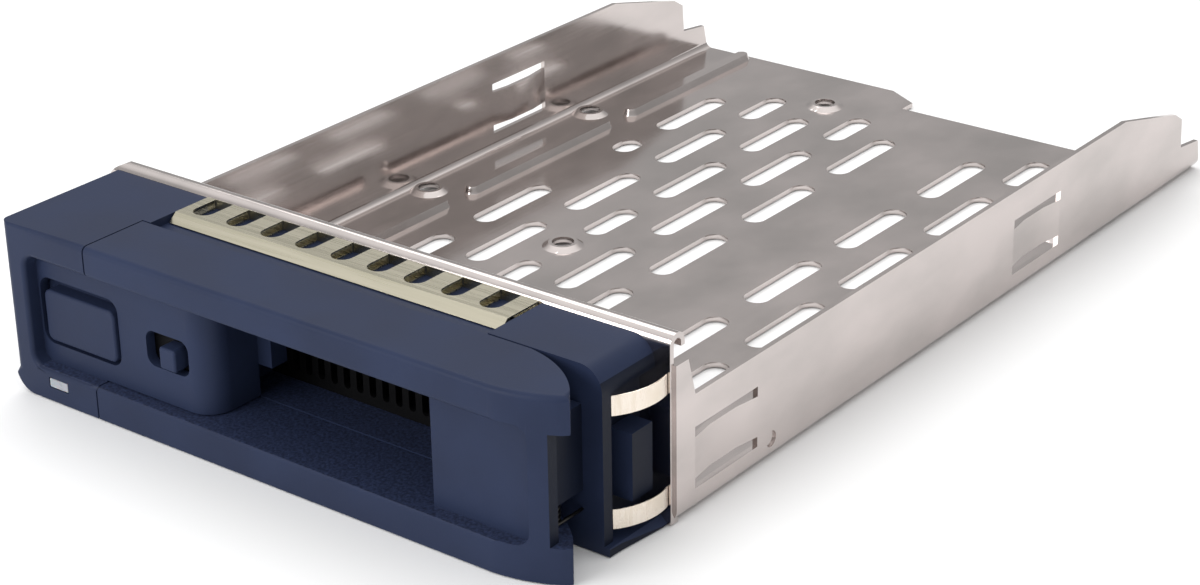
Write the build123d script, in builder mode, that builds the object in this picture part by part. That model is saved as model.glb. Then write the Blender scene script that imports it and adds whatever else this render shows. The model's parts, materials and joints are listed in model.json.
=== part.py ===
from build123d import *
import os

# Hot-swap tray for one 3.5 in or 2.5 in drive: a bent sheet-steel pan behind a moulded bezel with a
# swing lever. Millimetres. X runs along the bezel's width, Y from the bezel to the rear, Z up.
# Origin: middle of the width, front face of the pan's front flange, underside of the pan.

# Drive that the tray carries (SFF-8301 and SFF-8201 bottom holes)
drive_width = 101.6
drive_side_gap = 0.2
large_hole_edge = 3.175
large_hole_pitch = 44.45
large_hole_span = 76.2
large_hole_rear = 41.28
small_hole_x = 61.72
small_hole_span = 76.6
small_hole_rear = 14.0
small_drive_left_hole = -15.1
screw_hole_radius = 1.8

# Overall sizes, and the ends that other pieces are placed from
sheet = 0.8
pan_length = 152.5
bezel_inset = 2.8
bezel_height = 26.5
bezel_depth = 22.8
half_width = drive_width / 2 + drive_side_gap + sheet
bezel_half = half_width - bezel_inset
left_end = -bezel_half
right_end = bezel_half
front = -bezel_depth

# Pan
large_hole_x = drive_width - 2 * large_hole_edge
pan_step = 7.1
pan_step_length = pan_length - pan_step
step_start = -3.0
step_end = -9.5
step_rise = 3.5
wall_height = 17.4
wall_bend_radius = 2.0
return_height = bezel_height - 3.5
return_depth = 3.5
return_ramp = 1.5
return_lip = 5.0
return_low = 2.6
wall_slope_start = pan_length - 28.9
wall_slope_end = pan_length - 10.7
wall_slope_drop = 4.5
wall_nose_height = 11.3
wall_nose_depth = 2.6
tail_height = 5.3
tail_round = 0.8
tail_end = pan_length - 1.2
flange_inset = 0.4
flange_half_width = half_width - flange_inset
flange_height = bezel_height + 0.9
flange_corner = 4.0
hem_depth = 3.2
hem_tail = 0.6
dish_radius = 4.9
dish_rim = 1.0
dish_height = 0.7
small_dish_radius = 3.4
rib_x = half_width - 10.3
rib_width = 3.0
rib_height = 1.2
rib_taper = 20
rib_start = 8.0
rib_hole_gap = 5.0
slot_width = 4.2
slot_length = 18.4
slot_short = 12.0
slot_pitch_x = 9.0
slot_pitch_y = 25.4
slot_first_x = -32.6
slot_first_y = 10.8
slot_columns = 8
slot_rows = int((pan_length - slot_first_y) / slot_pitch_y)
clip_starts = (4.9, pan_length - 64.3)
clip_length = 14.4
clip_ramp = 4.2
clip_low = 3.5
clip_high = 12.6
clip_slit = 1.5
clip_bulge = 0.6
pimple_y = 22.6
pimple_z = 3.3
pimple_radius = 1.2
pimple_depth = 0.3

# Bezel
lever_rear = 11.4
lever_gap = 0.3
housing_front = -lever_rear + lever_gap
recess_depth = 2.3
recess_left = 4.0
recess_right = 3.6
recess_corner = 2.0
rail_low = 4.9
rail_high = 4.5
top_rail = bezel_height - rail_high
seam_x = left_end + 16.7
seam_gap = 0.25
panel_right = left_end + 37.7
panel_clear = 0.2
panel_wall = 1.6
panel_corner = 4.0
panel_face = front + recess_depth
panel_back = panel_face + panel_wall
end_radius = 3.5
window_left = panel_right - 4.2
window_right = right_end - 18.5
window_low = 5.0
window_high = top_rail
rib_right = panel_right + 2.6
rib_bottom = 10.0
rib_rear = housing_front + 3.0
hollow_left = right_end - 16.7
hollow_right = right_end - 4.5
hollow_front = -9.3
side_pocket = 2.5
side_low = 1.2
side_top = bezel_height - 4.0
foot_points = ((0.9, housing_front), (1.0, -8.5), (1.8, -1.0), (1.8, 0))
block_reach = 3.5
block_front = 6.3
block_length = 4.3
block_low = 6.0
block_high = 15.8
block_chamfer = 1.0
vent_pitch = 2.4
vent_width = 1.2
vent_margin = 1.5
vent_count = int((window_right - window_left - vent_margin) / vent_pitch)
grille_depth = 4.5
grille_gap = 0.1

# Lever
lever_opening_right = right_end - 20.4
pivot_x = right_end - 5.5
pivot_y = -16.5
pin_radius = 1.25
pin_clearance = 0.05
pin_low = 0.5
pin_high = bezel_height - 1.3
pin_end_gap = 0.1
pin_chamfer = 0.2
hollow_low = 5.2
hollow_high = bezel_height - 5.3
hub_wall = 0.9
hub_radius = pin_radius + pin_clearance + hub_wall
hub_gap = 0.3
lug_low = 8.5
lug_high = hollow_high - hub_gap
lever_wire = 0.5
lever_coil_gap = 0.5
lever_coil_radius = pin_radius + lever_coil_gap + lever_wire / 2
lever_coil_pitch = 0.75
lever_coil_height = 2.4
lever_leg = housing_front - pivot_y
tip_x = right_end + 1.3
tip_y = -19.2
tip_blunt = 0.7
rear_bow = (right_end - 4.05, -14.0)
front_bow = (right_end - 4.0, -21.9)
nose_x = right_end - 9.0
shoulder_x = right_end - 11.0
notch_x = right_end - 1.1
pad_wall = 1.5
pocket_inset = 0.4
tongue_left = left_end + 23.2
tongue_right = left_end + 25.4
tongue_rear = -5.7
tongue_low = top_rail
tongue_high = top_rail + 1.6
tongue_gap = 0.3
barb = 1.4
barb_length = 1.2
eye_front = -8.9
eye_length = 1.6
eye_height = 0.9
eye_gap = 0.3

# Button, catch and lock
cavity_left = left_end + 1.8
cavity_right = panel_right - panel_wall
cavity_low = 6.8
cavity_high = bezel_height - 6.3
chamber_right = left_end + 31.8
chamber_low = 1.8
chamber_high = bezel_height - 2.6
chamber_front = -9.5
button_x = left_end + 12.7
button_z = 12.7
button_width = 14.2
button_height = 8.0
button_gap_left = 1.2
button_gap_right = 0.4
button_gap_low = 0.7
button_gap_high = 1.6
button_corner = 1.2
button_proud = 0.5
button_wall = 1.4
button_edge = 0.4
button_rear = -15.0
button_travel = 2.0
button_left = button_x - button_width / 2
button_right = button_x + button_width / 2
button_low = button_z - button_height / 2
button_high = button_z + button_height / 2
lip_overlap = 1.0
lip_thickness = 1.2
button_spring_z = 12.4
button_coil_radius = 1.5
button_coil_pitch = 1.6
button_wire = 0.4
button_spring_gap = 0.4
button_spring_reach = button_coil_radius + button_wire / 2 + button_spring_gap
button_spring_x = button_left + button_wall + button_spring_reach
pusher_left = left_end + 16.0
pusher_right = left_end + 18.0
pusher_low = 12.0
pusher_high = 14.0
pusher_tip = -9.0
catch_clear = 0.2
catch_front = -8.6
catch_thickness = 1.5
catch_nose = left_end + 20.9
catch_low = 11.5
catch_low_left = left_end + 13.4
catch_low_right = left_end + 15.6
catch_wide_left = left_end + 8.5
catch_arm_left = left_end + 13.0
catch_step = 15.2
catch_shoulder = bezel_height - 6.5
catch_spring_z = bezel_height - 4.5
catch_coil_radius = 0.9
catch_coil_pitch = 1.1
catch_wire = 0.3
guide_points = ((left_end + 17.0, bezel_height - 4.4), (left_end + 10.2, 17.5))
guide_play = 0.15
guide_radius = 0.75
guide_front = -9.4
guide_head = 0.5
guide_head_radius = 1.3
lock_x = left_end + 29.7
lock_z = 13.0
lock_opening = 8.2
lock_opening_height = 5.4
lock_corner = 1.5
lock_travel = 3.0
knob_x = left_end + 30.55
knob_z = 12.6
knob_width = 3.1
knob_height = 3.4
knob_proud = 1.0
knob_edge = 0.5
bolt_left = left_end + 24.5
bolt_right = cavity_right - panel_clear
bolt_low = 9.6
bolt_high = 16.2
bolt_thickness = 1.4
notch_half = 1.0
detent_half = 2.0
detent_rise = 2.8
detent_sheet = 0.3
finger_tall = 0.6
up_arm_rear = -7.4
up_arm_gap = 0.5
arm_high = bezel_height - 7.1
arm_left = left_end + 29.0
arm_right = left_end + 31.2
cover_front = -5.2
cover_thickness = 1.2
cover_edge = 0.3
cover_points = ((left_end + 4.5, 4.6), (left_end + 26.5, 4.6), (left_end + 23.5, 18.0))
boss_radius = 1.6
screw_clearance = 0.05
cover_screw_depth = 5.0
cover_screw_radius = 0.9
cover_head_radius = 1.6
cover_head_height = 1.1
bezel_screw_x = (left_end + 39.0, right_end - 24.0)
bezel_screw_z = (2.5, bezel_height - 2.85)
bezel_points = [(x, z) for z in bezel_screw_z for x in bezel_screw_x]
bezel_screw_radius = 0.9
bezel_screw_depth = 7.0
bezel_head_radius = 1.5
bezel_head_height = 1.4
cross_reach = 1.0
cross_half = 0.22
light_left = left_end + 7.0
light_right = left_end + 10.7
light_low = 2.2
light_high = 3.6
light_end = -4.0
light_clear = 0.1

# Spring-steel contacts
strip_half = bezel_half - 18.7
strip_gap = 0.4
strip_bed = bezel_height - 1.2
strip_thickness = 0.25
strip_top = bezel_height + 0.25
strip_rear = -0.1
strip_crease = 6.6
strip_reach = 8.0
strip_lip = 1.25
strip_foot = 4.0
d_pitch = 6.59
d_middle = -0.7
d_count = int(2 * strip_half / d_pitch)
d_width = 3.4
d_front = 5.7
d_rear = 0.15
contact_thickness = 0.25
contact_radius = 10.3
contact_centre = (right_end - 7.93, -2.6)
contact_low = (2.9, bezel_height - 7.3)
contact_height = 2.9
contact_gap = 0.1

LOW = (Align.MIN, Align.MIN, Align.MIN)
ALONG_Y = (-90, 0, 0)


def block(x, y, z, mode=Mode.ADD):
    """A box given by its low and high value on each axis."""
    with Locations((x[0], y[0], z[0])):
        Box(x[1] - x[0], y[1] - y[0], z[1] - z[0], align=LOW, mode=mode)


def rod_y(x, z, y, radius, mode=Mode.ADD):
    """A cylinder along Y between two Y values."""
    with Locations(Location((x, (y[0] + y[1]) / 2, z), ALONG_Y)):
        Cylinder(radius, y[1] - y[0], mode=mode)


def save(piece, name):
    """Label a finished piece and write it to its own file."""
    piece.label = name
    export_step(piece, f"parts/{name}.step")


def outline(plane, points):
    """A flat face on a plane, bounded by straight lines through the points."""
    with BuildSketch(plane) as face:
        with BuildLine():
            Polyline(*points, close=True)
        make_face()
    return face.sketch


def hole_rows():
    """Centres of the large-drive holes, then of the small-drive holes."""
    rows = (large_hole_rear, large_hole_rear + large_hole_pitch, large_hole_rear + large_hole_span)
    large = [(side * large_hole_x / 2, pan_length - row) for side in (-1, 1) for row in rows]
    rows = (small_hole_rear, small_hole_rear + small_hole_span)
    left = [(small_drive_left_hole, pan_length - row) for row in rows]
    right = [(small_drive_left_hole + small_hole_x, pan_length - row) for row in rows]
    return large, left, right


def side_outline():
    """Outline of a side wall in the Y-Z plane, from the front bend to the low tail."""
    top = wall_height
    nose = wall_slope_end + wall_nose_depth
    points = (
        (sheet, 0),
        (sheet, return_height),
        (return_depth, return_height),
        (return_depth + return_ramp, top),
        (wall_slope_start, top),
        (wall_slope_end, top - wall_slope_drop),
        (nose, wall_nose_height),
        (nose + tail_round / 2, tail_height + tail_round),
        (tail_end, tail_height),
        (pan_length, 0),
    )
    return outline(Plane.YZ.offset(-half_width), points)


def rear_step():
    """The part of the floor cut away behind the shorter right-hand rear edge."""
    edge = half_width - wall_bend_radius
    points = (
        (step_end, pan_length + 1),
        (step_end, pan_length),
        (step_start, pan_step_length + step_rise),
        (step_start, pan_step_length),
        (edge, pan_step_length),
        (edge, pan_length + 1),
    )
    return outline(Plane.XY, points)


def hem_outline():
    """Section of the front flange with its top edge folded back into a hem."""
    hem_radius = hem_depth / 2
    hem_z = flange_height - hem_radius
    tail_z = hem_z - hem_tail
    with BuildSketch(Plane.YZ.offset(-flange_half_width)) as section:
        with BuildLine():
            Line((0, 0), (0, hem_z))
            ThreePointArc((0, hem_z), (hem_radius, flange_height), (hem_depth, hem_z))
            Line((hem_depth, hem_z), (hem_depth, tail_z))
            Line((hem_depth, tail_z), (hem_depth - sheet, tail_z))
            Line((hem_depth - sheet, tail_z), (hem_depth - sheet, hem_z))
            inner_top = (hem_radius, flange_height - sheet)
            ThreePointArc((hem_depth - sheet, hem_z), inner_top, (sheet, hem_z))
            Line((sheet, hem_z), (sheet, 0))
            Line((sheet, 0), (0, 0))
        make_face()
    return section.sketch


def vent_slots():
    """The row of upright vent slots behind the finger opening."""
    middle = ((window_left + window_right) / 2, (window_low + window_high) / 2)
    length = window_high - window_low - 2 * vent_margin
    with Locations(middle):
        with GridLocations(vent_pitch, 1, vent_count, 1):
            SlotOverall(length, vent_width, rotation=90)


def floor_slots():
    """Slots in a staggered grid: every other column is shifted by half a pitch along Y."""
    blank_column = 5
    cut_short = {(2, 2): slot_short, (0, 3): slot_short / 2}
    for column in range(slot_columns):
        if column == blank_column:
            continue
        x = slot_first_x + column * slot_pitch_x
        odd = column % 2
        for row in range(slot_rows):
            start = slot_first_y + (row + odd / 2) * slot_pitch_y
            length = slot_length
            if odd and row == slot_rows - 1:
                length = slot_short
            if (column, row) in cut_short:
                length = cut_short[(column, row)]
                start += slot_length - length
            with Locations((x, start + length / 2)):
                SlotOverall(length, slot_width, rotation=90)


def rib_slots(narrower):
    """Plan of the floor ribs: both sides, broken beside each large-drive hole.

    A stretch that is no longer than the rib is wide has no room for one.
    """
    stops = [pan_length - large_hole_rear - step for step in (large_hole_span, large_hole_pitch, 0)]
    for side, end in ((-1, pan_length), (1, pan_step_length)):
        starts = [rib_start] + [stop + rib_hole_gap / 2 for stop in stops]
        ends = [stop - rib_hole_gap / 2 for stop in stops] + [end - sheet]
        runs = [run for run in zip(starts, ends) if run[1] - run[0] > rib_width]
        for rib_from, rib_to in runs:
            with Locations((side * rib_x, (rib_from + rib_to) / 2)):
                SlotOverall(rib_to - rib_from - narrower, rib_width - narrower, rotation=90)


def side_clip(side, start):
    """A strip of the wall pressed inwards between two slits, to hold the drive's side."""
    outer = side * half_width
    inner = side * (half_width - sheet)
    bulge = -side * clip_bulge
    end = start + clip_length
    low_x, high_x = sorted((outer + side, inner - side))
    block((low_x, high_x), (start, end), (clip_low, clip_high), Mode.SUBTRACT)
    points = (
        (outer, start),
        (outer + bulge, start + clip_ramp),
        (outer + bulge, end - clip_ramp),
        (outer, end),
        (inner, end),
        (inner + bulge, end - clip_ramp),
        (inner + bulge, start + clip_ramp),
        (inner, start),
    )
    strip = outline(Plane.XY.offset(clip_low + clip_slit), points)
    extrude(strip, amount=clip_high - clip_low - 2 * clip_slit)


def make_tray_pan():
    """The pan: floor, two side walls and front flange bent from one sheet."""
    inner_half = half_width - sheet
    large, left, right = hole_rows()
    with BuildPart() as pan:
        with BuildSketch(Plane.XZ):
            Rectangle(2 * half_width, return_height, align=(Align.CENTER, Align.MIN))
            with Locations((0, sheet)):
                centre_low = (Align.CENTER, Align.MIN)
                Rectangle(2 * inner_half, return_height, align=centre_low, mode=Mode.SUBTRACT)
        extrude(amount=-pan_length)
        fillet(pan.edges().filter_by(Axis.Y).group_by(Axis.Z)[1], wall_bend_radius - sheet)
        fillet(pan.edges().filter_by(Axis.Y).group_by(Axis.Z)[0], wall_bend_radius)
        extrude(side_outline(), amount=2 * half_width, mode=Mode.INTERSECT)
        extrude(rear_step(), amount=sheet, mode=Mode.SUBTRACT)
        for side in (-1, 1):
            lip_x = sorted((side * (half_width - return_lip), side * inner_half))
            block(lip_x, (sheet, 2 * sheet), (return_low, return_height))
        block((-flange_half_width, flange_half_width), (0, 2 * sheet), (0, sheet))
        extrude(hem_outline(), amount=2 * flange_half_width)
        with BuildSketch(Plane.XZ):
            with Locations((-flange_half_width, flange_height)):
                Rectangle(flange_corner, flange_corner, align=(Align.MIN, Align.MAX))
            with Locations((-flange_half_width + flange_corner, flange_height - flange_corner)):
                Circle(flange_corner, mode=Mode.SUBTRACT)
        extrude(amount=-hem_depth, mode=Mode.SUBTRACT)
        with BuildSketch(Plane.XZ):
            vent_slots()
            with Locations(*bezel_points):
                Circle(bezel_screw_radius + screw_clearance)
        extrude(amount=-sheet, mode=Mode.SUBTRACT)
        with BuildSketch(Plane.XY.offset(sheet)):
            rib_slots(0)
        extrude(amount=rib_height, taper=rib_taper)
        with BuildSketch():
            rib_slots(sheet)
        extrude(amount=rib_height, taper=rib_taper, mode=Mode.SUBTRACT)
        reach = inner_half - large_hole_x / 2
        for places, radius in ((large, min(dish_radius, reach)), (left, small_dish_radius)):
            for place in places:
                with Locations((*place, sheet + dish_height / 2)):
                    Cone(radius, radius - dish_rim, dish_height)
        for places, radius in ((large, dish_radius), (left, small_dish_radius)):
            under = radius - sheet
            for place in places:
                with Locations((*place, dish_height / 2)):
                    Cone(under, under - dish_rim, dish_height, mode=Mode.SUBTRACT)
        with BuildSketch():
            floor_slots()
            with Locations(*large, *left, *right):
                Circle(screw_hole_radius)
        extrude(amount=3 * sheet, mode=Mode.SUBTRACT)
        for side in (-1, 1):
            for start in clip_starts:
                side_clip(side, start)
            with Locations(Location((side * half_width, pimple_y, pimple_z), (0, 90, 0))):
                Cylinder(pimple_radius, 2 * pimple_depth, mode=Mode.SUBTRACT)
    return pan.part


def recess_face():
    """Plan of the shallow recess across the bezel, on the bezel's front plane."""
    left = -bezel_half + recess_left
    right = bezel_half - recess_right
    with BuildSketch(Plane.XZ.offset(bezel_depth)) as face:
        with Locations(((left + right) / 2, (rail_low + top_rail) / 2)):
            RectangleRounded(right - left, top_rail - rail_low, recess_corner)
    return face.sketch


def panel_outline():
    """Top view of the fixed panel that stands between the lever's two bars."""
    corner = panel_right - panel_corner
    with BuildSketch(Plane.XY.offset(rail_low + panel_clear)) as face:
        with BuildLine():
            Line((seam_x, housing_front), (seam_x, panel_face))
            Line((seam_x, panel_face), (corner, panel_face))
            RadiusArc((corner, panel_face), (panel_right, panel_face + panel_corner), -panel_corner)
            Line((panel_right, panel_face + panel_corner), (panel_right, housing_front))
            Line((panel_right, housing_front), (seam_x, housing_front))
        make_face()
    return face.sketch


def button_opening(margin):
    """Front view of the button's opening in the panel, widened by a margin, at Y = 0."""
    width = button_width + button_gap_left + button_gap_right + 2 * margin
    height = button_height + button_gap_low + button_gap_high + 2 * margin
    x = button_left - button_gap_left - margin + width / 2
    z = button_low - button_gap_low - margin + height / 2
    with BuildSketch(Plane.XZ) as face:
        with Locations((x, z)):
            RectangleRounded(width, height, button_corner + button_gap_low)
    return face.sketch


def make_bezel_housing():
    """The fixed moulding: rear housing, left corner, and the panel with the button and lock."""
    window_x = (window_left, window_right)
    with BuildPart() as housing:
        block((-bezel_half, bezel_half), (housing_front, 0), (0, bezel_height))
        block((-bezel_half, seam_x), (front, housing_front), (0, bezel_height))
        sides = housing.edges().filter_by(Axis.Y)
        fillet(sides.group_by(Axis.X)[-1].sort_by(Axis.Z)[-1:], end_radius)
        sides = housing.edges().filter_by(Axis.Y).group_by(Axis.X)[0]
        fillet(sides.sort_by(Axis.Z)[:1], end_radius)
        extrude(recess_face(), amount=-recess_depth, mode=Mode.SUBTRACT)
        extrude(panel_outline(), amount=top_rail - rail_low - 2 * panel_clear)
        cavity_z = (cavity_low, cavity_high)
        block((cavity_left, chamber_right), (panel_back, chamber_front), cavity_z, Mode.SUBTRACT)
        right_x = (chamber_right - 1, cavity_right)
        block(right_x, (panel_back, housing_front - panel_wall), cavity_z, Mode.SUBTRACT)
        chamber_x = (cavity_left, chamber_right)
        block(chamber_x, (chamber_front, 0), (chamber_low, chamber_high), Mode.SUBTRACT)
        block(window_x, (housing_front, 0), (window_low, window_high), Mode.SUBTRACT)
        hollow_z = (chamber_low, chamber_high)
        block((hollow_left, hollow_right), (hollow_front, 0), hollow_z, Mode.SUBTRACT)
        wall = bezel_half - side_pocket
        block((wall, bezel_half), (hollow_front, 0), (side_low, side_top), Mode.SUBTRACT)
        foot = [(wall, 0), (wall, housing_front)]
        foot += [(bezel_half + reach, y) for reach, y in foot_points]
        extrude(outline(Plane.XY, foot), amount=side_low)
        guide_y = (-block_front, -block_front + block_length)
        block((wall, wall + block_reach), guide_y, (block_low, block_high))
        guide = housing.faces().filter_by(Axis.X).sort_by(Axis.X)[-1]
        chamfer(guide.edges().filter_by(Axis.Y).sort_by(Axis.Z)[-1:], block_chamfer)
        block((window_left, rib_right), (housing_front, rib_rear), (rib_bottom, window_high))
        strip_x = (-strip_half - strip_gap, strip_half + strip_gap)
        block(strip_x, (housing_front, 0), (strip_bed, bezel_height), Mode.SUBTRACT)
        slot_x = (tongue_left - barb - button_travel / 2, tongue_right + tongue_gap)
        slot_z = (tongue_low - tongue_gap, chamber_high)
        block(slot_x, (housing_front, chamber_front), slot_z, Mode.SUBTRACT)
        opening = Location((0, panel_face, 0))
        button_hole = button_opening(0)
        extrude(opening * button_hole, amount=panel_wall, dir=(0, 1, 0), mode=Mode.SUBTRACT)
        with BuildSketch(Plane.XZ.offset(-panel_face)):
            with Locations((lock_x, lock_z)):
                RectangleRounded(lock_opening, lock_opening_height, lock_corner)
        extrude(amount=-panel_wall, mode=Mode.SUBTRACT)
        light_x = (light_left - light_clear, light_right + light_clear)
        light_z = (light_low - light_clear, light_high + light_clear)
        block(light_x, (front, chamber_front), light_z, Mode.SUBTRACT)
        for x, z in cover_points:
            boss_front = panel_back if z > rail_low else chamber_front
            rod_y(x, z, (boss_front, cover_front), boss_radius)
            screw_y = (cover_front - cover_screw_depth, cover_front)
            rod_y(x, z, screw_y, cover_screw_radius + screw_clearance, Mode.SUBTRACT)
        for x, z in bezel_points:
            screw_y = (-bezel_screw_depth, 0)
            rod_y(x, z, screw_y, bezel_screw_radius + screw_clearance, Mode.SUBTRACT)
        arm_x = (pivot_x - hub_radius, pivot_x + hub_radius)
        block(arm_x, (pivot_y, housing_front), (lug_low, lug_high))
        lug_middle = (lug_low + lug_high) / 2
        with Locations((pivot_x, pivot_y, lug_middle)):
            Cylinder(hub_radius, lug_high - lug_low)
            Cylinder(pin_radius + pin_clearance, lug_high - lug_low, mode=Mode.SUBTRACT)
    return housing.part


def lever_outline():
    """Top view of the swing lever, with its rounded right-hand tip."""
    left = seam_x + seam_gap
    with BuildSketch() as face:
        with BuildLine():
            Line((left, -lever_rear), (left, front))
            Line((left, front), (nose_x, front))
            ThreePointArc((nose_x, front), front_bow, (tip_x - tip_blunt, tip_y - tip_blunt))
            Line((tip_x - tip_blunt, tip_y - tip_blunt), (tip_x, tip_y))
            ThreePointArc((tip_x, tip_y), rear_bow, (shoulder_x, -lever_rear))
            Line((shoulder_x, -lever_rear), (left, -lever_rear))
        make_face()
    return face.sketch


def make_swing_lever():
    """The moulded lever: two bars and a pad, bored for the pin, with a notch at the right end."""
    left = seam_x + seam_gap
    wall = pad_wall
    pocket_x = (left + wall, lever_opening_right)
    pocket_y = (front + wall + pocket_inset, -lever_rear - wall)
    with BuildPart() as lever:
        extrude(lever_outline(), amount=bezel_height)
        opening_x = (left - wall, lever_opening_right)
        block(opening_x, (front, -lever_rear), (rail_low, top_rail), Mode.SUBTRACT)
        extrude(recess_face(), amount=-recess_depth, mode=Mode.SUBTRACT)
        hollow_x = (lever_opening_right + wall, notch_x)
        hollow_y = (pivot_y - hub_radius - hub_gap, 0)
        block(hollow_x, hollow_y, (hollow_low, hollow_high), Mode.SUBTRACT)
        block((notch_x, tip_x), (front, 0), (hollow_low, hollow_high), Mode.SUBTRACT)
        block(pocket_x, pocket_y, (top_rail, bezel_height - wall), Mode.SUBTRACT)
        block(pocket_x, pocket_y, (0, rail_low - wall), Mode.SUBTRACT)
        with Locations((pivot_x, pivot_y, (pin_high + pin_end_gap) / 2)):
            Cylinder(pin_radius + pin_clearance, pin_high + pin_end_gap, mode=Mode.SUBTRACT)
        tongue_z = (tongue_low, tongue_high)
        block((tongue_left, tongue_right), (-lever_rear - wall, tongue_rear), tongue_z)
        block((tongue_left - barb, tongue_left), (tongue_rear - barb_length, tongue_rear), tongue_z)
        eye_y = (eye_front, eye_front + eye_length)
        eye_low = (tongue_low + tongue_high - eye_height) / 2
        block((tongue_left, tongue_right), eye_y, (eye_low, eye_low + eye_height), Mode.SUBTRACT)
    return lever.part


def make_lever_pin():
    """The steel pin that the lever turns on."""
    with BuildPart() as pin:
        with Locations((pivot_x, pivot_y, (pin_low + pin_high) / 2)):
            Cylinder(pin_radius, pin_high - pin_low)
        chamfer(pin.edges().filter_by(GeomType.CIRCLE), pin_chamfer)
    return pin.part


def make_lever_spring():
    """The torsion spring round the pin, with one leg on the lever and one on the housing."""
    coil = Helix(lever_coil_pitch, lever_coil_height, lever_coil_radius)
    with BuildPart() as spring:
        with BuildSketch(Plane(coil @ 0, z_dir=coil % 0)):
            Circle(lever_wire / 2)
        sweep(path=coil, is_frenet=True)
        with Locations((lever_coil_radius, 0, 0)):
            with Locations(Location((0, lever_leg / 2, 0), ALONG_Y)):
                Cylinder(lever_wire / 2, lever_leg)
        with Locations(Location((-lever_leg / 2, lever_coil_radius, lever_coil_height), (0, 90, 0))):
            Cylinder(lever_wire / 2, lever_leg)
    place = Location((pivot_x, pivot_y, hollow_low + lever_wire))
    return place * spring.part


def make_coil(pitch, length, radius, wire):
    """A compression spring along +Z from the origin."""
    coil = Helix(pitch, length, radius)
    with BuildPart() as spring:
        with BuildSketch(Plane(coil @ 0, z_dir=coil % 0)):
            Circle(wire / 2)
        sweep(path=coil, is_frenet=True)
    return spring.part


def make_button_spring():
    """The spring behind the release button, lying along Y."""
    start = panel_face + button_wall + button_wire
    length = cover_front - start - button_wire
    coil = make_coil(button_coil_pitch, length, button_coil_radius, button_wire)
    return Location((button_spring_x, start, button_spring_z), ALONG_Y) * coil


def make_catch_spring():
    """The spring at the left end of the catch, lying along X."""
    start = cavity_left + catch_wire
    length = catch_arm_left - catch_wire - start
    coil = make_coil(catch_coil_pitch, length, catch_coil_radius, catch_wire)
    middle = catch_front + catch_thickness / 2
    return Location((start, middle, catch_spring_z), (0, 90, 0)) * coil


def make_release_button():
    """The push button: hollow cap, retaining lip and a pusher with a wedge tip."""
    face_y = panel_face - button_proud
    with BuildPart() as button:
        with BuildSketch(Plane.XZ.offset(-face_y)):
            with Locations((button_x, button_z)):
                RectangleRounded(button_width, button_height, button_corner)
        extrude(amount=face_y - button_rear)
        fillet(button.edges().group_by(Axis.Y)[0], button_edge)
        lip = Location((0, panel_back + panel_clear, 0)) * button_opening(lip_overlap)
        extrude(lip, amount=lip_thickness, dir=(0, 1, 0))
        inner_x = (button_left + button_wall, button_right - button_wall)
        inner_z = (button_low + button_wall, button_high - button_wall)
        block(inner_x, (face_y + button_wall, button_rear), inner_z, Mode.SUBTRACT)
        wedge = pusher_right - pusher_left
        points = (
            (pusher_left, face_y + button_wall),
            (pusher_right, face_y + button_wall),
            (pusher_right, pusher_tip),
            (pusher_left, pusher_tip - wedge),
        )
        extrude(outline(Plane.XY.offset(pusher_low), points), amount=pusher_high - pusher_low)
    return button.part


def catch_outline():
    """Front view of the catch plate, which clears the button's spring and carries the nose."""
    points = (
        (catch_low_left, catch_low),
        (catch_low_right, catch_low),
        (catch_low_right, catch_shoulder),
        (catch_nose, catch_shoulder),
        (catch_nose, tongue_high),
        (catch_arm_left, tongue_high),
        (catch_arm_left, catch_shoulder),
        (catch_wide_left, catch_shoulder),
        (catch_wide_left, catch_step),
        (catch_low_left, catch_step),
    )
    return outline(Plane.XZ.offset(-catch_front), points)


def make_release_catch():
    """The sliding catch plate with its wedge, nose and two guide slots."""
    wedge = pusher_right - pusher_left
    face = pusher_left - catch_clear
    with BuildPart() as catch:
        extrude(catch_outline(), amount=-catch_thickness)
        points = (
            (catch_low_left, pusher_tip - wedge),
            (face, pusher_tip - wedge),
            (face + wedge, pusher_tip),
            (face + wedge, catch_front),
            (catch_low_left, catch_front),
        )
        extrude(outline(Plane.XY.offset(pusher_low), points), amount=pusher_high - pusher_low)
        with BuildSketch(Plane.XZ.offset(-catch_front)):
            for x, z in guide_points:
                with Locations((x + button_travel / 2, z)):
                    wide = 2 * (guide_radius + guide_play)
                    SlotOverall(button_travel + wide, wide)
        extrude(amount=-catch_thickness, mode=Mode.SUBTRACT)
    return catch.part


def make_catch_guides():
    """Two headed pins, pressed into the cover, that the catch slides on."""
    with BuildPart() as guides:
        for x, z in guide_points:
            rod_y(x, z, (guide_front, cover_front + cover_thickness), guide_radius)
            rod_y(x, z, (guide_front, guide_front + guide_head), guide_head_radius)
    return guides.part


def make_lock_bolt():
    """The bolt plate behind the lock's opening, with the arm and finger that hold the lever."""
    plate_rear = panel_back + panel_clear + bolt_thickness
    finger_z = (tongue_low + tongue_high - finger_tall) / 2
    with BuildPart() as bolt:
        plate_y = (panel_back + panel_clear, plate_rear)
        block((bolt_left, bolt_right), plate_y, (bolt_low, bolt_high))
        arm_x = (arm_left, arm_right)
        block(arm_x, (plate_y[0], up_arm_rear), (bolt_high - panel_clear, arm_high))
        up_arm_y = (up_arm_rear - bolt_thickness, up_arm_rear)
        block(arm_x, up_arm_y, (bolt_high - panel_clear, chamber_high - up_arm_gap))
        finger_y = (eye_front + eye_gap, eye_front + eye_length - eye_gap)
        block((tongue_right + tongue_gap, arm_left), finger_y, (finger_z, finger_z + finger_tall))
        for x in (knob_x, knob_x + lock_travel):
            points = (
                (x - notch_half, bolt_low),
                (x, bolt_low + notch_half),
                (x + notch_half, bolt_low),
            )
            notch = outline(Plane.XZ.offset(-plate_y[0]), points)
            extrude(notch, amount=-bolt_thickness, mode=Mode.SUBTRACT)
    return bolt.part


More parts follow.
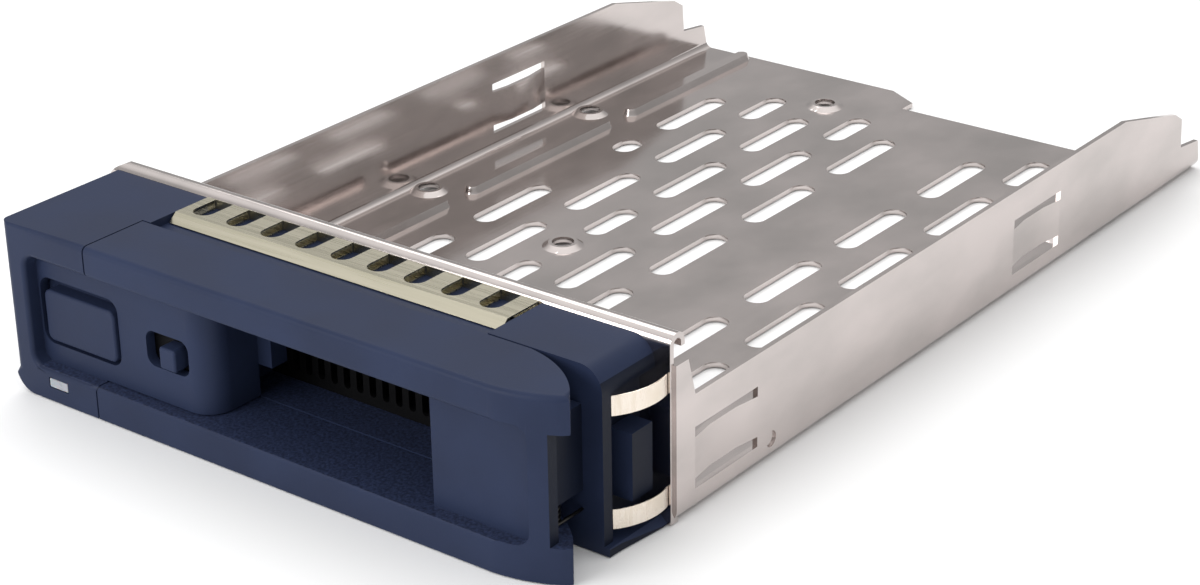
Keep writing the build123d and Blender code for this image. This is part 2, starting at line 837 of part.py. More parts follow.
def make_lock_knob():
    """The small knob of the lock, standing proud of the panel."""
    knob_y = (panel_face - knob_proud, panel_back + panel_clear)
    with BuildPart() as knob:
        height = (knob_z - knob_height / 2, knob_z + knob_height / 2)
        block((knob_x - knob_width / 2, knob_x + knob_width / 2), knob_y, height)
        fillet(knob.edges().filter_by(Axis.Y), knob_edge)
        chamfer(knob.edges().group_by(Axis.Y)[0], knob_edge / 2)
    return knob.part


def make_lock_detent():
    """The leaf spring under the bolt, with the bump that drops into its notches."""
    path = (
        (bolt_left, 0),
        (knob_x - detent_half, 0),
        (knob_x, detent_rise),
        (knob_x + detent_half, 0),
        (bolt_right - panel_clear, 0),
    )
    lower = [(x, cavity_low + z) for x, z in path]
    upper = [(x, cavity_low + z + detent_sheet) for x, z in reversed(path)]
    detent_front = panel_back + panel_clear
    with BuildPart() as detent:
        extrude(outline(Plane.XZ.offset(-detent_front), lower + upper), amount=-bolt_thickness)
    return detent.part


def make_light_pipe():
    """The clear bar that carries the indicator light to the front."""
    with BuildPart() as pipe:
        block((light_left, light_right), (front, light_end), (light_low, light_high))
    return pipe.part


def make_mechanism_cover():
    """The plate that closes the chamber behind the button, catch and lock."""
    cover_x = (cavity_left + cover_edge, chamber_right - cover_edge)
    cover_y = (cover_front, cover_front + cover_thickness)
    cover_z = (chamber_low + cover_edge, chamber_high - cover_edge)
    with BuildPart() as cover:
        block(cover_x, cover_y, cover_z)
        light_x = (light_left - light_clear, light_right + light_clear)
        block(light_x, cover_y, (chamber_low, light_high + light_clear), Mode.SUBTRACT)
        for x, z in cover_points:
            rod_y(x, z, cover_y, cover_screw_radius + screw_clearance, Mode.SUBTRACT)
        for x, z in guide_points:
            rod_y(x, z, cover_y, guide_radius + screw_clearance, Mode.SUBTRACT)
    return cover.part


def make_screws(points, head_front, depth, radius, head_radius, head_height):
    """Pan-head screws driven forwards from the rear, with a cross cut in each head."""
    with BuildPart() as screws:
        for x, z in points:
            rod_y(x, z, (head_front - depth, head_front), radius)
            rod_y(x, z, (head_front, head_front + head_height), head_radius)
            slot_y = (head_front + head_height / 2, head_front + head_height)
            long_x = (x - cross_reach, x + cross_reach)
            block(long_x, slot_y, (z - cross_half, z + cross_half), Mode.SUBTRACT)
            long_z = (z - cross_reach, z + cross_reach)
            block((x - cross_half, x + cross_half), slot_y, long_z, Mode.SUBTRACT)
    return screws.part


def make_vent_grille():
    """The black insert with upright fins that closes the finger opening's rear."""
    x = (window_left + grille_gap, window_right - grille_gap)
    z = (window_low + grille_gap, window_high - grille_gap)
    with BuildPart() as grille:
        block(x, (-grille_depth, 0), z)
        with BuildSketch(Plane.XZ.offset(grille_depth)):
            vent_slots()
        extrude(amount=-grille_depth, mode=Mode.SUBTRACT)
    return grille.part


def make_top_contact_strip():
    """The spring-steel strip on top: foot, raised plate with D holes, and a sloping front lip."""
    t = strip_thickness
    rear = strip_rear
    top = strip_top
    points = (
        (-strip_foot, strip_bed),
        (rear, strip_bed),
        (rear, top),
        (-strip_crease, top),
        (-strip_reach, top - strip_lip),
        (-strip_reach + t, top - strip_lip - t / 2),
        (-strip_crease + t / 2, top - t),
        (rear - t, top - t),
        (rear - t, strip_bed + t),
        (-strip_foot, strip_bed + t),
    )
    section = outline(Plane.YZ.offset(-strip_half), points)
    with BuildPart() as strip:
        extrude(section, amount=2 * strip_half)
        with BuildSketch(Plane.XY.offset(strip_bed)):
            middle = -d_front + d_width / 2
            with Locations((d_middle, middle)):
                with GridLocations(d_pitch, 1, d_count, 1):
                    Circle(d_width / 2)
            with Locations((d_middle, (middle - d_rear) / 2)):
                with GridLocations(d_pitch, 1, d_count, 1):
                    Rectangle(d_width, -d_rear - middle)
        extrude(amount=top - strip_bed, mode=Mode.SUBTRACT)
    return strip.part


def make_side_contact(low):
    """One bowed spring finger at the right-hand end, clipped behind the post."""
    wall = bezel_half - side_pocket
    with BuildPart() as finger:
        with BuildSketch(Plane.XY.offset(low)):
            with Locations(contact_centre):
                Circle(contact_radius)
                Circle(contact_radius - contact_thickness, mode=Mode.SUBTRACT)
            with Locations((wall, hollow_front + contact_gap)):
                size = -hollow_front - 2 * contact_gap
                Rectangle(size, size, align=(Align.MIN, Align.MIN), mode=Mode.INTERSECT)
        extrude(amount=contact_height)
    return finger.part


os.makedirs("parts", exist_ok=True)
save(make_tray_pan(), "tray_pan")
save(make_bezel_housing(), "bezel_housing")
save(make_swing_lever(), "swing_lever")
save(make_lever_pin(), "lever_pin")
save(make_lever_spring(), "lever_spring")
save(make_release_button(), "release_button")
save(make_button_spring(), "button_spring")
save(make_release_catch(), "release_catch")
save(make_catch_spring(), "catch_spring")
save(make_catch_guides(), "catch_guides")
save(make_lock_bolt(), "lock_bolt")
save(make_lock_knob(), "lock_knob")
save(make_lock_detent(), "lock_detent")
save(make_light_pipe(), "light_pipe")
save(make_mechanism_cover(), "mechanism_cover")
cover_rear = cover_front + cover_thickness
cover_screw_size = (cover_screw_radius, cover_head_radius, cover_head_height)
save(make_screws(cover_points, cover_rear, cover_screw_depth, *cover_screw_size), "cover_screws")
bezel_screw_size = (bezel_screw_radius, bezel_head_radius, bezel_head_height)
save(make_screws(bezel_points, sheet, bezel_screw_depth, *bezel_screw_size), "bezel_screws")
save(make_vent_grille(), "vent_grille")
save(make_top_contact_strip(), "top_contact_strip")
save(make_side_contact(contact_low[1]), "side_contact_upper")
save(make_side_contact(contact_low[0]), "side_contact_lower")
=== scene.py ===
"""Looks for the hot-swap drive tray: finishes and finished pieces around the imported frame."""

import json
import logging
import math
from collections.abc import Callable
from dataclasses import dataclass
from enum import Enum

import bpy
from mathutils import Matrix, Vector

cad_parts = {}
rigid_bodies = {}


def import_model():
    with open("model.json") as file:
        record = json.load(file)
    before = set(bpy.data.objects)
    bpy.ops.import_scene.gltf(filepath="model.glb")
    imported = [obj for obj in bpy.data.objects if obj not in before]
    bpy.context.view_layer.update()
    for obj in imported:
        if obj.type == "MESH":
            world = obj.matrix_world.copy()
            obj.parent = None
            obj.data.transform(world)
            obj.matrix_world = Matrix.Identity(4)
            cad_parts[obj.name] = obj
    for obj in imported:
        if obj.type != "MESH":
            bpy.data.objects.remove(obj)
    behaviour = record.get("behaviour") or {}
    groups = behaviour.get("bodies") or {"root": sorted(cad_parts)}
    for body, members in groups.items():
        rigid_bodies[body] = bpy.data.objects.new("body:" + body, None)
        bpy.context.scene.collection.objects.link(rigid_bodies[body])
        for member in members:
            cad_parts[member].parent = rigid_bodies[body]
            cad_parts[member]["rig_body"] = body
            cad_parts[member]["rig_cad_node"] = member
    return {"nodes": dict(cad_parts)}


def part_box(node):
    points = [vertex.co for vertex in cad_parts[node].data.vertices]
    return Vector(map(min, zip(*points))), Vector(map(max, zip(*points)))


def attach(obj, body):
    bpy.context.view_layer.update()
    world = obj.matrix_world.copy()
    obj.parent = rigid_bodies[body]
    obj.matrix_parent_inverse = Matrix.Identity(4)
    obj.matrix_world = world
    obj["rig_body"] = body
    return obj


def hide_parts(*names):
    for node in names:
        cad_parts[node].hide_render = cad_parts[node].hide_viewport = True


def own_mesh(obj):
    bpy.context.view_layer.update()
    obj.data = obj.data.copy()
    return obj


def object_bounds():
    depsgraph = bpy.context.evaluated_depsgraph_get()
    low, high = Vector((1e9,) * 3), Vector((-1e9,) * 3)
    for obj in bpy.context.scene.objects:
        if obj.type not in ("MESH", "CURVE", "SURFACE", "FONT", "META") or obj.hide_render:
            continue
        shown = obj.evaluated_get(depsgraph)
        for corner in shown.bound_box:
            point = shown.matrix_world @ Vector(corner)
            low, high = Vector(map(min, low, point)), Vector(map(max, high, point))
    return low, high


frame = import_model()
CAD_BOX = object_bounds()
MM = 0.001
log = logging.getLogger("drive_tray")

Colour = tuple[float, float, float, float]
Test = Callable[[Vector], bool]
NOISE_RANGE = (0.3, 0.7)
RAMP_STOPS = (0.35, 0.65)
SAME_PLACE_MM = 0.05
FACING_DOT = 0.9


def linear(hex_colour: str) -> Colour:
    """Turn an sRGB hex colour into the linear colour that a shader socket takes.

    Args:
        hex_colour: Six hex digits after a hash.

    Returns:
        Red, green, blue and an alpha of 1.
    """
    digits = hex_colour.lstrip("#")
    channels = [int(digits[at : at + 2], 16) / 255 for at in (0, 2, 4)]
    straight = [c / 12.92 if c <= 0.04045 else ((c + 0.055) / 1.055) ** 2.4 for c in channels]
    return (*straight, 1.0)


def add_node(
    tree: bpy.types.NodeTree, kind: str, settings: dict | None = None, links: dict | None = None
) -> bpy.types.Node:
    """Add one shader node, set it up and link its inputs.

    Args:
        tree: The node tree that the node joins.
        kind: Blender's name for the node type.
        settings: Node properties by name, or input values by socket name or number.
        links: Output sockets by the name or number of the input that they feed.

    Returns:
        The new node.
    """
    node = tree.nodes.new(kind)
    for name, value in (settings or {}).items():
        if isinstance(name, str) and hasattr(node, name):
            setattr(node, name, value)
        else:
            node.inputs[name].default_value = value
    for name, output in (links or {}).items():
        tree.links.new(output, node.inputs[name])
    return node


def per_mm(x: float, y: float, z: float) -> tuple[float, float, float]:
    """Scale for a pattern whose features have these sizes in millimetres along X, Y and Z."""
    return (1 / (x * MM), 1 / (y * MM), 1 / (z * MM))


def noise(
    tree: bpy.types.NodeTree, size: tuple[float, float, float], detail: float
) -> bpy.types.NodeSocket:
    """Add a noise pattern on Object coordinates.

    Args:
        tree: The node tree that the pattern joins.
        size: Feature size along X, Y and Z in millimetres.
        detail: How many finer layers the noise has.

    Returns:
        The pattern's grey value.
    """
    place = add_node(tree, "ShaderNodeTexCoord")
    turn = add_node(
        tree, "ShaderNodeMapping", {"Scale": per_mm(*size)}, {"Vector": place.outputs["Object"]}
    )
    made = add_node(
        tree, "ShaderNodeTexNoise", {"Scale": 1.0, "Detail": detail}, {"Vector": turn.outputs[0]}
    )
    return made.outputs[0]


def spread(
    tree: bpy.types.NodeTree, value: bpy.types.NodeSocket, low: float, high: float
) -> bpy.types.NodeSocket:
    """Map a noise value's middle range to a low and a high value.

    Args:
        tree: The node tree.
        value: The grey value to map.
        low: Result where the value is lowest.
        high: Result where the value is highest.

    Returns:
        The mapped value.
    """
    start, end = NOISE_RANGE
    settings = {"From Min": start, "From Max": end, "To Min": low, "To Max": high}
    return add_node(tree, "ShaderNodeMapRange", settings, {"Value": value}).outputs[0]


def two_tone(
    tree: bpy.types.NodeTree, value: bpy.types.NodeSocket, dark: str, light: str
) -> bpy.types.NodeSocket:
    """Blend two colours by a grey value.

    Args:
        tree: The node tree.
        value: The grey value.
        dark: Hex colour where the value is low.
        light: Hex colour where the value is high.

    Returns:
        The blended colour.
    """
    ramp = add_node(tree, "ShaderNodeValToRGB", links={"Fac": value})
    for stop, place, colour in zip(ramp.color_ramp.elements, RAMP_STOPS, (dark, light)):
        stop.position = place
        stop.color = linear(colour)
    return ramp.outputs["Color"]


def start_material(name: str) -> tuple[bpy.types.Material, bpy.types.NodeTree, bpy.types.Node]:
    """Make a material and give its node tree and its Principled shader."""
    made = bpy.data.materials.new(name)
    made.use_nodes = True
    return made, made.node_tree, made.node_tree.nodes["Principled BSDF"]


def add_bump(
    tree: bpy.types.NodeTree, shader: bpy.types.Node, height: bpy.types.NodeSocket, depth_mm: float
) -> None:
    """Let a grey value raise the surface by a depth in millimetres."""
    settings = {"Strength": 1.0, "Distance": depth_mm * MM}
    bump = add_node(tree, "ShaderNodeBump", settings, {"Height": height})
    tree.links.new(bump.outputs["Normal"], shader.inputs["Normal"])


class Edge(Enum):
    """How an edge was left by the way the piece was made: its radius in millimetres."""

    SHEARED = 0.08
    COINED = 0.15
    MOULDED = 0.3


@dataclass(frozen=True)
class RolledStainless:
    """Cold-rolled 2B stainless sheet: a soft mirror with faint rolling lines along the coil."""

    name: str = "Cold-rolled stainless sheet"
    dark: str = "#BEB7B4"
    light: str = "#D0C7C4"
    smooth: float = 0.08
    rough: float = 0.21
    line_mm: tuple[float, float, float] = (0.35, 60.0, 0.35)
    smudge_mm: tuple[float, float, float] = (16.0, 22.0, 9.0)
    line_depth_mm: float = 0.0012
    line_share: float = 0.35
    smudge_share: tuple[float, float] = (0.15, 0.5)

    def material(self) -> bpy.types.Material:
        """Build the material."""
        made, tree, shader = start_material(self.name)
        shader.inputs["Metallic"].default_value = 1.0
        lines = noise(tree, self.line_mm, 3.0)
        smudges = noise(tree, self.smudge_mm, 4.0)
        both = add_node(
            tree,
            "ShaderNodeMath",
            {"operation": "MULTIPLY_ADD", 1: self.line_share},
            {0: lines, 2: spread(tree, smudges, *self.smudge_share)},
        )
        tree.links.new(two_tone(tree, smudges, self.dark, self.light), shader.inputs["Base Color"])
        roughness = spread(tree, both.outputs[0], self.smooth, self.rough)
        tree.links.new(roughness, shader.inputs["Roughness"])
        add_bump(tree, shader, lines, self.line_depth_mm)
        return made


@dataclass(frozen=True)
class MouldedAbs:
    """Moulded ABS with a fine matt grain from the tool: soft highlights, slightly uneven sheen."""

    name: str
    dark: str
    light: str
    roughness: tuple[float, float] = (0.38, 0.5)
    gloss: float = 0.12
    grain_mm: float = 0.22
    grain_depth_mm: float = 0.012
    flow_mm: float = 14.0

    def material(self) -> bpy.types.Material:
        """Build the material."""
        made, tree, shader = start_material(self.name)
        shader.inputs["Specular IOR Level"].default_value = self.gloss
        grain = noise(tree, (self.grain_mm,) * 3, 2.0)
        flow = noise(tree, (self.flow_mm,) * 3, 3.0)
        tree.links.new(two_tone(tree, flow, self.dark, self.light), shader.inputs["Base Color"])
        tree.links.new(spread(tree, flow, *self.roughness), shader.inputs["Roughness"])
        add_bump(tree, shader, grain, self.grain_depth_mm)
        return made


@dataclass(frozen=True)
class ErodedAbs:
    """ABS moulded against a spark-eroded tool: coarse pits whose sides glint."""

    name: str
    dark: str
    light: str
    pit_mm: float = 0.45
    pit_depth_mm: float = 0.07
    roughness: tuple[float, float] = (0.5, 0.32)

    def material(self) -> bpy.types.Material:
        """Build the material."""
        made, tree, shader = start_material(self.name)
        pits = noise(tree, (self.pit_mm,) * 3, 3.0)
        tree.links.new(two_tone(tree, pits, self.dark, self.light), shader.inputs["Base Color"])
        tree.links.new(spread(tree, pits, *self.roughness), shader.inputs["Roughness"])
        add_bump(tree, shader, pits, self.pit_depth_mm)
        return made


@dataclass(frozen=True)
class PlainMetal:
    """Small metal stock with a fine drawn or plated surface, and a slight change of tint."""

    name: str
    dark: str
    light: str
    roughness: tuple[float, float]
    grain_mm: tuple[float, float, float]
    depth_mm: float = 0.002

    def material(self) -> bpy.types.Material:
        """Build the material."""
        made, tree, shader = start_material(self.name)
        shader.inputs["Metallic"].default_value = 1.0
        grain = noise(tree, self.grain_mm, 3.0)
        tree.links.new(two_tone(tree, grain, self.dark, self.light), shader.inputs["Base Color"])
        tree.links.new(spread(tree, grain, *self.roughness), shader.inputs["Roughness"])
        add_bump(tree, shader, grain, self.depth_mm)
        return made


@dataclass(frozen=True)
class FrostedPolycarbonate:
    """Light pipe of moulded polycarbonate, milky at its cut end."""

    name: str = "Frosted polycarbonate"
    dark: str = "#9B9DA4"
    light: str = "#A6A8AF"
    cloud_mm: float = 2.5
    roughness: tuple[float, float] = (0.25, 0.4)
    index: float = 1.58
    scatter: float = 0.3
    scatter_mm: float = 2.0

    def material(self) -> bpy.types.Material:
        """Build the material."""
        made, tree, shader = start_material(self.name)
        cloud = noise(tree, (self.cloud_mm,) * 3, 2.0)
        tree.links.new(two_tone(tree, cloud, self.dark, self.light), shader.inputs["Base Color"])
        tree.links.new(spread(tree, cloud, *self.roughness), shader.inputs["Roughness"])
        shader.inputs["IOR"].default_value = self.index
        shader.inputs["Subsurface Weight"].default_value = self.scatter
        shader.inputs["Subsurface Scale"].default_value = self.scatter_mm * MM
        return made


@dataclass
class Palette:
    """The finishes that the sub-assemblies share, each made once."""

    def __post_init__(self) -> None:
        """Build every material."""
        self.stainless = RolledStainless().material()
        self.abs = MouldedAbs("Moulded ABS slate blue", "#262E45", "#2A334C").material()
        self.ledge = ErodedAbs("Spark-eroded ABS slate blue", "#1B2136", "#333D5A").material()
        # Painted shade: a darker copy of the slate blue ABS, with the same gloss and roughness,
        # for the faces at the right end that face +X.
        self.end = MouldedAbs("Slate blue ABS painted shade", "#111624", "#151B2B").material()
        # Near-black nylon for the catch, bolt, cover and vent grille; on the grille it also
        # darkens the inside of the finger window as painted shade.
        self.nylon = MouldedAbs(
            "Near-black nylon and painted shade", "#050506", "#09090B", (0.5, 0.6), 0.12
        ).material()
        self.nickel = PlainMetal(
            "Nickel silver spring strip", "#E2D6C6", "#F0E6DA", (0.22, 0.32), (0.3, 8.0, 4.0)
        ).material()
        self.strip = PlainMetal(
            "Rolled nickel silver", "#BAB5A1", "#C6C0AD", (0.24, 0.31), (20.0, 0.5, 4.0), 0.0005
        ).material()
        self.zinc = PlainMetal(
            "Zinc plated steel", "#A9ACB0", "#C3C6C9", (0.25, 0.4), (0.5, 0.5, 0.5)
        ).material()
        self.wire = PlainMetal(
            "Oiled music wire", "#3B3A38", "#4C4A47", (0.25, 0.35), (0.15, 0.15, 2.0)
        ).material()
        self.clear = FrostedPolycarbonate().material()


def pick_edges(test: Test) -> int:
    """Select edges of the active mesh by their place, in object mode.

    Args:
        test: True for a point that belongs to the selection, in millimetres.

    Returns:
        How many edges have both ends in the selection.
    """
    mesh = bpy.context.active_object.data
    bpy.ops.object.mode_set(mode="EDIT")
    bpy.ops.mesh.select_mode(type="EDGE")
    bpy.ops.mesh.select_all(action="DESELECT")
    bpy.ops.object.mode_set(mode="OBJECT")
    count = 0
    for edge in mesh.edges:
        if all(test(mesh.vertices[at].co / MM) for at in edge.vertices):
            edge.select = True
            count += 1
    return count


@dataclass
class Finisher:
    """Turns a CAD node into a finished piece: merged faces, rounded edges and smooth curves."""

    smooth_angle: float = 32.0
    sharp_angle: float = 34.0
    flat_angle: float = 0.8
    weld_mm: float = 0.004

    def copy(self, node: str, name: str) -> bpy.types.Object:
        """Copy a CAD node into a new object, with its doubles merged and its flats dissolved.

        Args:
            node: Name of the CAD node.
            name: Name of the new piece.

        Returns:
            The new piece.
        """
        bpy.ops.object.select_all(action="DESELECT")
        source = frame["nodes"][node]
        source.hide_viewport = False
        source.select_set(True)
        bpy.context.view_layer.objects.active = source
        bpy.ops.object.duplicate()
        piece = bpy.context.active_object
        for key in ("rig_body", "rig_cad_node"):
            if key in piece:
                del piece[key]
        world = piece.matrix_world.copy()
        piece.parent = None
        piece.matrix_world = world
        piece.name = name
        bpy.ops.object.mode_set(mode="EDIT")
        bpy.ops.mesh.select_all(action="SELECT")
        bpy.ops.mesh.remove_doubles(threshold=self.weld_mm * MM)
        bpy.ops.mesh.dissolve_limited(angle_limit=math.radians(self.flat_angle))
        bpy.ops.object.mode_set(mode="OBJECT")
        return piece

    def round_edges(self, piece: bpy.types.Object, edge: Edge, segments: int) -> None:
        """Round every sharp edge and shade the curves smooth.

        Args:
            piece: The piece, which is the active object.
            edge: How the piece's edges were left.
            segments: Facets across one rounded edge.
        """
        rounding = piece.modifiers.new("rounding", "BEVEL")
        rounding.width = edge.value * MM
        rounding.segments = segments
        rounding.limit_method = "ANGLE"
        rounding.angle_limit = math.radians(self.sharp_angle)
        rounding.miter_outer = "MITER_ARC"
        rounding.use_clamp_overlap = True
        bpy.ops.object.modifier_apply(modifier=rounding.name)
        bpy.ops.object.shade_smooth_by_angle(angle=math.radians(self.smooth_angle))
        flats = piece.modifiers.new("flat faces", "WEIGHTED_NORMAL")
        flats.mode = "FACE_AREA"
        flats.weight = 100
        flats.keep_sharp = True
        bpy.ops.object.modifier_apply(modifier=flats.name)

    def soften(self, piece: bpy.types.Object, test: Test, width_mm: float, segments: int) -> None:
        """Round some edges more than the rest.

        Args:
            piece: The piece, which is the active object.
            test: True for a point of the edges to round, in millimetres.
            width_mm: Radius of the rounding.
            segments: Facets across it.
        """
        if pick_edges(test) == 0:
            log.warning("%s: no edges to soften", piece.name)
            return
        bpy.ops.object.mode_set(mode="EDIT")
        bpy.ops.mesh.bevel(offset=width_mm * MM, segments=segments, clamp_overlap=False)
        bpy.ops.object.mode_set(mode="OBJECT")

    def dress(
        self, piece: bpy.types.Object, node: str, body: str, slot: str, *looks: bpy.types.Material
    ) -> None:
        """Give a piece its materials and its body, and hide the CAD node that it replaces."""
        piece.data.materials.clear()
        for look in looks:
            piece.data.materials.append(look)
        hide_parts(node)
        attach(piece, body)
        log.info("%s: %d faces", piece.name, len(piece.data.polygons))

    def simple(
        self, node: str, body: str, slot: str, edge: Edge, look: bpy.types.Material
    ) -> bpy.types.Object:
        """Finish a node that needs no more than rounded edges and one material."""
        piece = self.copy(node, f"{node}_finished")
        self.round_edges(piece, edge, 2)
        self.dress(piece, node, body, slot, look)
        return piece


def repaint(piece: bpy.types.Object, test: Test, facing: Vector, slot: int) -> None:
    """Give the faces that pass a test and face one way another of the piece's materials."""
    for face in piece.data.polygons:
        if face.normal.dot(facing) > FACING_DOT and test(face.center / MM):
            face.material_index = slot


@dataclass
class TrayPan:
    """The bent sheet pan and the screws that hold the bezel to it."""

    finisher: Finisher
    palette: Palette

    def build(self) -> None:
        """Finish the pan and its screws."""
        look = self.palette
        self.finisher.simple("tray_pan", "tray", "stainless", Edge.SHEARED, look.stainless)
        self.finisher.simple("bezel_screws", "tray", "pin_steel", Edge.COINED, look.zinc)


@dataclass
class Bezel:
    """The fixed moulding with the vent insert and the light pipe."""

    finisher: Finisher
    palette: Palette
    front_mm: float = -22.8
    ledge_mm: float = 5.0
    ledge_reach_mm: float = 0.3
    recess_left_mm: float = 3.0
    recess_low_mm: float = 4.0
    recess_top_mm: float = 3.9
    end_mm: float = 44.0
    recess_radius_mm: float = 0.7
    corner_radius_mm: float = 1.4
    crease_radius_mm: float = 0.9

    def build(self) -> None:
        """Finish the housing and what is fixed in it."""
        look = self.palette
        low, high = (Vector(corner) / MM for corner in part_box("bezel_housing"))
        piece = self.finisher.copy("bezel_housing", "bezel_housing_finished")

        def rim(point: Vector) -> bool:
            """True on the recess's rim in the front face of the left corner block."""
            right = low.x + self.recess_left_mm < point.x
            inside = right and self.recess_low_mm < point.z < high.z - self.recess_top_mm
            return abs(point.y - self.front_mm) < SAME_PLACE_MM and inside

        def corner(point: Vector) -> bool:
            """True along the upright front edge of the left end."""
            on_front = abs(point.y - self.front_mm) < SAME_PLACE_MM
            return on_front and abs(point.x - low.x) < SAME_PLACE_MM

        def crease(point: Vector) -> bool:
            """True along the top edge of the left corner block's front."""
            on_front = abs(point.y - self.front_mm) < SAME_PLACE_MM
            return on_front and abs(point.z - high.z) < SAME_PLACE_MM

        self.finisher.soften(piece, rim, self.recess_radius_mm, 3)
        self.finisher.soften(piece, corner, self.corner_radius_mm, 4)
        self.finisher.soften(piece, crease, self.crease_radius_mm, 4)
        self.finisher.round_edges(piece, Edge.MOULDED, 3)
        looks = (look.abs, look.ledge, look.end)
        self.finisher.dress(piece, "bezel_housing", "tray", "navy_plastic", *looks)
        reach = self.ledge_reach_mm
        repaint(piece, lambda p: abs(p.z - self.ledge_mm) < reach, Vector((0, 0, 1)), 1)
        # Faces at the right end that face +X get the darker copy: painted shade on that side.
        repaint(piece, lambda p: p.x > self.end_mm, Vector((1, 0, 0)), 2)
        # The vent grille's near-black nylon also stands for the shade inside the finger window:
        # painted shade.
        self.finisher.simple("vent_grille", "tray", "black_plastic", Edge.SHEARED, look.nylon)
        self.finisher.simple("light_pipe", "tray", "clear_plastic", Edge.COINED, look.clear)


@dataclass
class SwingLever:
    """The lever with its pin and spring."""

    finisher: Finisher
    palette: Palette
    front_mm: float = -22.8
    ledge_mm: float = 4.9
    ledge_reach_mm: float = 0.3
    recess_right_mm: float = 47.0
    recess_low_mm: float = 4.0
    recess_top_mm: float = 3.9
    bar_rear_mm: float = -18.0
    end_mm: float = 44.0
    recess_radius_mm: float = 0.7
    crease_radius_mm: float = 0.9

    def build(self) -> None:
        """Finish the lever, its pin and its spring."""
        look = self.palette
        high = Vector(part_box("swing_lever")[1]) / MM
        piece = self.finisher.copy("swing_lever", "swing_lever_finished")

        def rim(point: Vector) -> bool:
            """True on the recess's rim in the lever's front face."""
            left = point.x < self.recess_right_mm
            inside = left and self.recess_low_mm < point.z < high.z - self.recess_top_mm
            return abs(point.y - self.front_mm) < SAME_PLACE_MM and inside

        def crease(point: Vector) -> bool:
            """True along the top edge of the lever's front."""
            return point.y < self.bar_rear_mm and abs(point.z - high.z) < SAME_PLACE_MM

        self.finisher.soften(piece, rim, self.recess_radius_mm, 3)
        self.finisher.soften(piece, crease, self.crease_radius_mm, 4)
        self.finisher.round_edges(piece, Edge.MOULDED, 3)
        looks = (look.abs, look.ledge, look.end)
        self.finisher.dress(piece, "swing_lever", "lever", "navy_plastic", *looks)
        reach = self.ledge_reach_mm
        repaint(piece, lambda p: abs(p.z - self.ledge_mm) < reach, Vector((0, 0, 1)), 1)
        # Faces at the right end that face +X get the darker copy: painted shade on that side.
        repaint(piece, lambda p: p.x > self.end_mm, Vector((1, 0, 0)), 2)
        self.finisher.simple("lever_pin", "tray", "pin_steel", Edge.COINED, look.zinc)
        frame["nodes"]["lever_spring"].data.materials.clear()
        frame["nodes"]["lever_spring"].data.materials.append(look.wire)


@dataclass
class Latch:
    """The button, the catch, the lock and what guides them behind the panel."""

    finisher: Finisher
    palette: Palette
    press_mm: float = 2.1

    def build(self) -> None:
        """Finish the moving pieces, their cover and their springs."""
        look = self.palette
        made = self.finisher.simple
        made("release_button", "button", "navy_plastic", Edge.MOULDED, look.abs)
        made("lock_knob", "lock", "navy_plastic", Edge.MOULDED, look.abs)
        made("lock_bolt", "lock", "black_plastic", Edge.COINED, look.nylon)
        made("release_catch", "catch", "black_plastic", Edge.COINED, look.nylon)
        made("mechanism_cover", "tray", "black_plastic", Edge.COINED, look.nylon)
        made("catch_guides", "tray", "pin_steel", Edge.COINED, look.zinc)
        made("cover_screws", "tray", "pin_steel", Edge.COINED, look.zinc)
        frame["nodes"]["lock_detent"].data.materials.clear()
        frame["nodes"]["lock_detent"].data.materials.append(look.wire)
        self.coil("button_spring")
        self.coil("catch_spring")

    def coil(self, node: str) -> None:
        """Finish a coil spring: smooth shading, its material, its body and a mesh of its own.

        Args:
            node: Name of the spring's CAD node.
        """
        piece = self.finisher.copy(node, f"{node}_finished")
        bpy.ops.object.shade_smooth_by_angle(angle=math.radians(self.finisher.smooth_angle))
        self.finisher.dress(piece, node, "tray", "spring_steel", self.palette.wire)
        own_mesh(piece)


@dataclass
class Contacts:
    """The spring strips that earth the tray."""

    finisher: Finisher
    palette: Palette

    def build(self) -> None:
        """Finish the top strip and both side fingers."""
        look = self.palette
        made = self.finisher.simple
        made("top_contact_strip", "tray", "contact_steel", Edge.SHEARED, look.strip)
        made("side_contact_upper", "tray", "contact_steel", Edge.SHEARED, look.nickel)
        made("side_contact_lower", "tray", "contact_steel", Edge.SHEARED, look.nickel)


@dataclass(frozen=True)
class SoftBox:
    """One area light: its place, size and aim in metres and its power in watts."""

    name: str
    place: tuple[float, float, float]
    size: tuple[float, float]
    power: float
    aim: tuple[float, float, float]

    def hang(self) -> None:
        """Add the light and point it at its aim."""
        data = bpy.data.lights.new(self.name, "AREA")
        data.shape = "RECTANGLE"
        data.size, data.size_y = self.size
        data.energy = self.power
        lamp = bpy.data.objects.new(self.name, data)
        bpy.context.collection.objects.link(lamp)
        lamp.location = self.place
        direction = Vector(self.aim) - Vector(self.place)
        lamp.rotation_euler = direction.to_track_quat("-Z", "Y").to_euler()


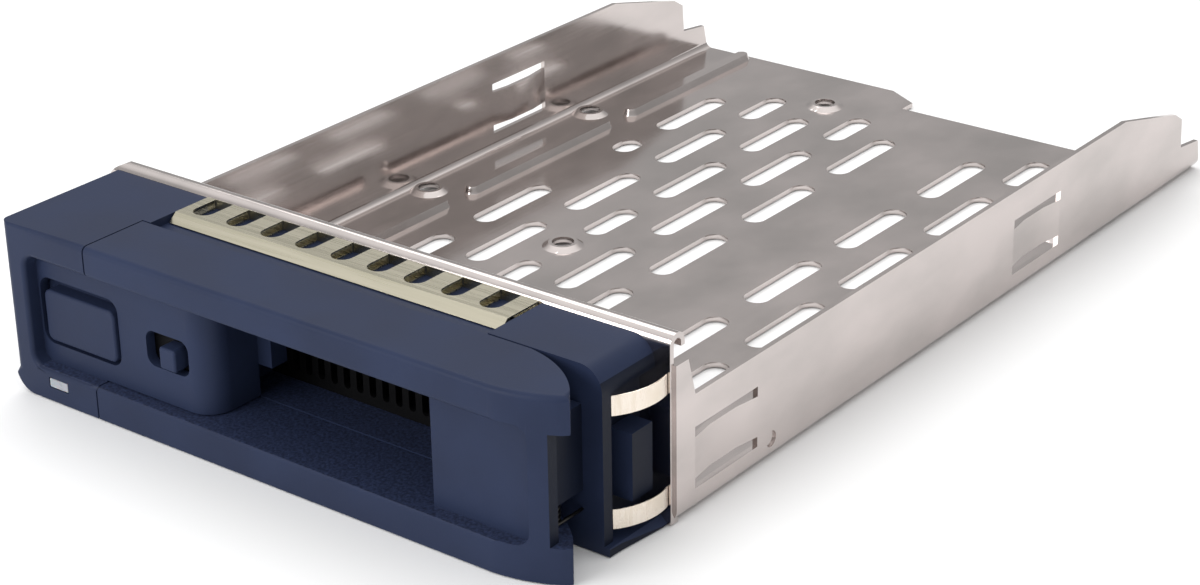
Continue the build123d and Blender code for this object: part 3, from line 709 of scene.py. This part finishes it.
@dataclass
class Studio:
    """Pale floor, soft sky and the camera."""

    lens_mm: float = 81.28
    camera_mm: tuple[float, float, float] = (233.65, -248.86, 176.01)
    azimuth: float = 37.84
    elevation: float = 24.77
    roll: float = -0.95
    sensor_mm: float = 36.0
    floor_side: float = 6.0
    floor_gap: float = 0.0002
    floor_colour: str = "#FAFAFA"
    floor_roughness: float = 0.95
    sky: tuple[tuple[float, float], ...] = ((0.0, 0.36), (0.5, 0.58), (0.75, 1.15), (1.0, 1.3))

    def add_camera(self) -> None:
        """Place the camera that frames the tray from its front right."""
        data = bpy.data.cameras.new("camera")
        data.lens = self.lens_mm
        data.sensor_width = self.sensor_mm
        data.sensor_fit = "HORIZONTAL"
        camera = bpy.data.objects.new("camera", data)
        bpy.context.collection.objects.link(camera)
        turn = Matrix.Rotation(math.radians(self.azimuth), 4, "Z")
        tilt = Matrix.Rotation(math.radians(90 - self.elevation), 4, "X")
        roll = Matrix.Rotation(math.radians(self.roll), 4, "Z")
        place = Matrix.Translation(Vector(self.camera_mm) * MM)
        camera.matrix_world = place @ turn @ tilt @ roll
        bpy.context.scene.camera = camera

    def add_floor(self) -> None:
        """Lay the pale floor under the tray."""
        bpy.ops.object.select_all(action="DESELECT")
        place = (0, 0, CAD_BOX[0][2] - self.floor_gap)
        bpy.ops.mesh.primitive_plane_add(size=self.floor_side, location=place)
        floor = bpy.context.active_object
        floor.name = "floor"
        made, tree, shader = start_material("Matt white sweep")
        shader.inputs["Base Color"].default_value = linear(self.floor_colour)
        shader.inputs["Roughness"].default_value = self.floor_roughness
        shader.inputs["Specular IOR Level"].default_value = 0.0
        floor.data.materials.append(made)

    def light(self) -> None:
        """Set the soft sky, brighter overhead than at the horizon, and both soft boxes."""
        world = bpy.data.worlds.new("studio")
        world.use_nodes = True
        tree = world.node_tree
        place = add_node(tree, "ShaderNodeTexCoord")
        split = add_node(tree, "ShaderNodeSeparateXYZ", links={0: place.outputs["Generated"]})
        ramp = add_node(tree, "ShaderNodeValToRGB", links={"Fac": split.outputs["Z"]})
        stops = ramp.color_ramp.elements
        while len(stops) < len(self.sky):
            stops.new(0.5)
        for stop, (height, level) in zip(stops, self.sky):
            stop.position = height
            stop.color = (level, level, level, 1.0)
        background = tree.nodes["Background"]
        tree.links.new(ramp.outputs["Color"], background.inputs["Color"])
        background.inputs["Strength"].default_value = 1.0
        bpy.context.scene.world = world
        bpy.context.scene.view_settings.view_transform = "Standard"
        SoftBox("rear_box", (-0.35, 0.5, 0.8), (0.7, 0.5), 2.0, (0, 0.05, 0)).hang()
        SoftBox("front_box", (-0.25, -0.75, 0.35), (0.6, 0.4), 4.0, (0, -0.02, 0.01)).hang()


def main() -> None:
    """Build every sub-assembly in order and report each piece."""
    logging.basicConfig(level=logging.INFO, format="%(name)s: %(message)s")
    studio = Studio()
    studio.add_camera()
    studio.add_floor()
    studio.light()
    palette = Palette()
    finisher = Finisher()
    for part in (TrayPan, Bezel, SwingLever, Latch, Contacts):
        part(finisher, palette).build()


if __name__ == "__main__":
    main()
